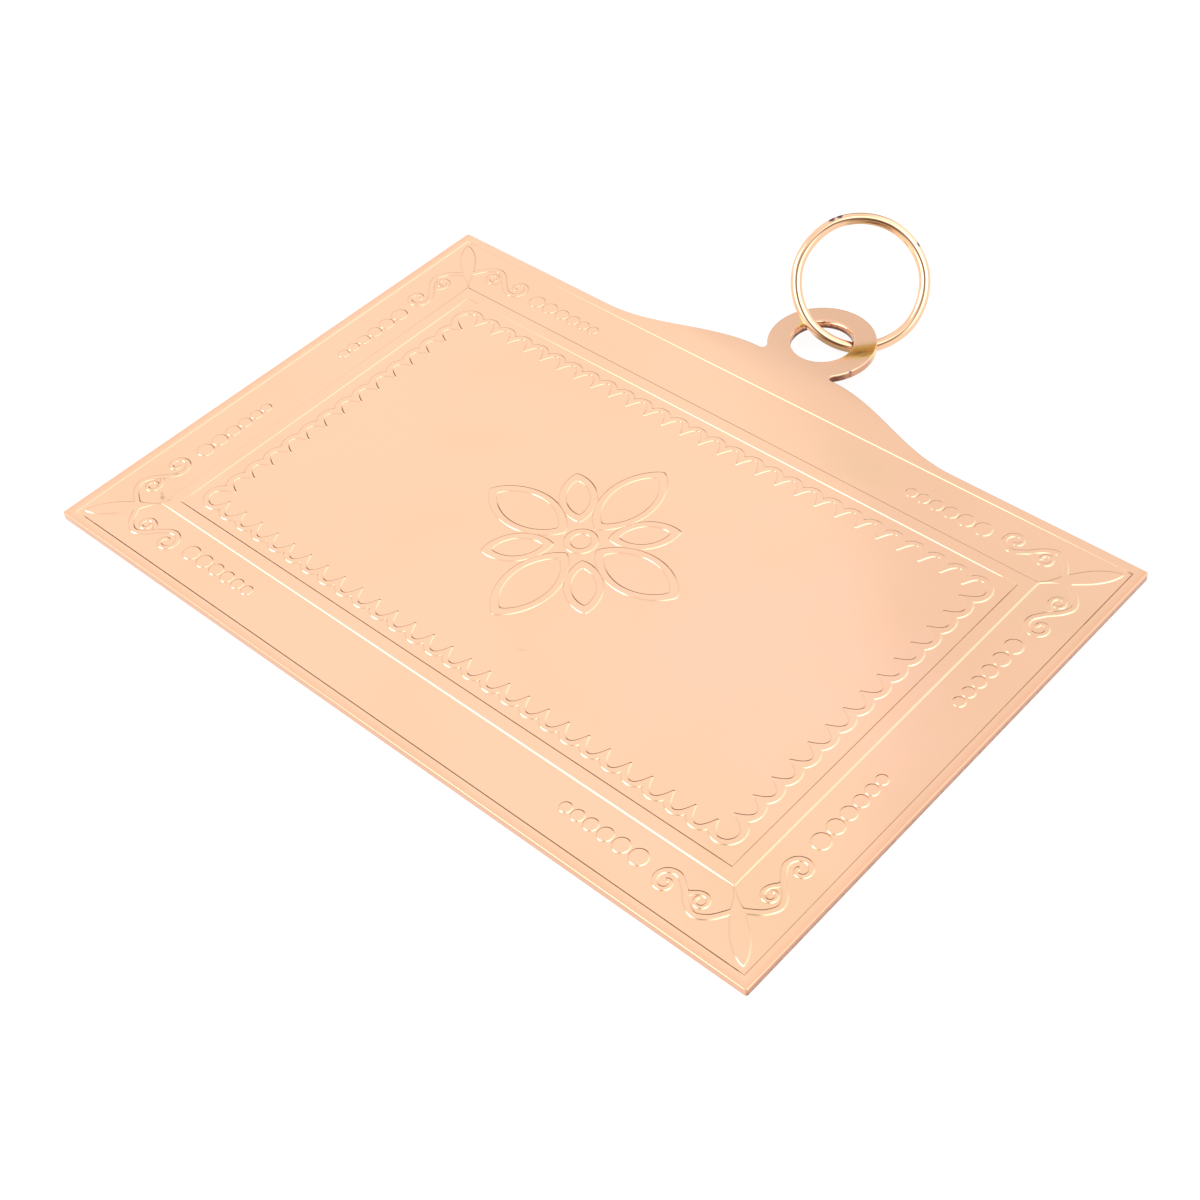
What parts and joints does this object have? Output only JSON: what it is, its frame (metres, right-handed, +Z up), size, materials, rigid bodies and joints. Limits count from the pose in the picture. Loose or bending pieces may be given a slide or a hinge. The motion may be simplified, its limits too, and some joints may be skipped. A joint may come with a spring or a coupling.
{
  "type": "masonic breastplate",
  "caption": "Flat gilt metal breastplate with raised scalloped border, scrolled corners, low gable, eye and a loose suspension ring.",
  "frame": {"origin": "middle of the underside of the whole object's box, on the surface that it lies on", "axes": "+X to the plate's right, +Y towards the eye and ring, +Z up out of the raised face"},
  "size_m": [0.1, 0.0898, 0.0129],
  "materials": {
    "rose_gilt": "polished rose gilt brass, faint tarnish",
    "yellow_gilt": "polished yellow gilt brass wire"
  },
  "bodies": {
    "plate": {"breastplate": "rose_gilt"},
    "ring": {"suspension_ring": "yellow_gilt"}
  },
  "joints": [
    {"name": "ring_swing", "type": "hinge", "parent": "plate", "child": "ring", "pos_m": [0.003, 0.03416, 0.00068], "axis": [0.7314, 0.682, 0], "range_deg": [0, 93]}
  ]
}
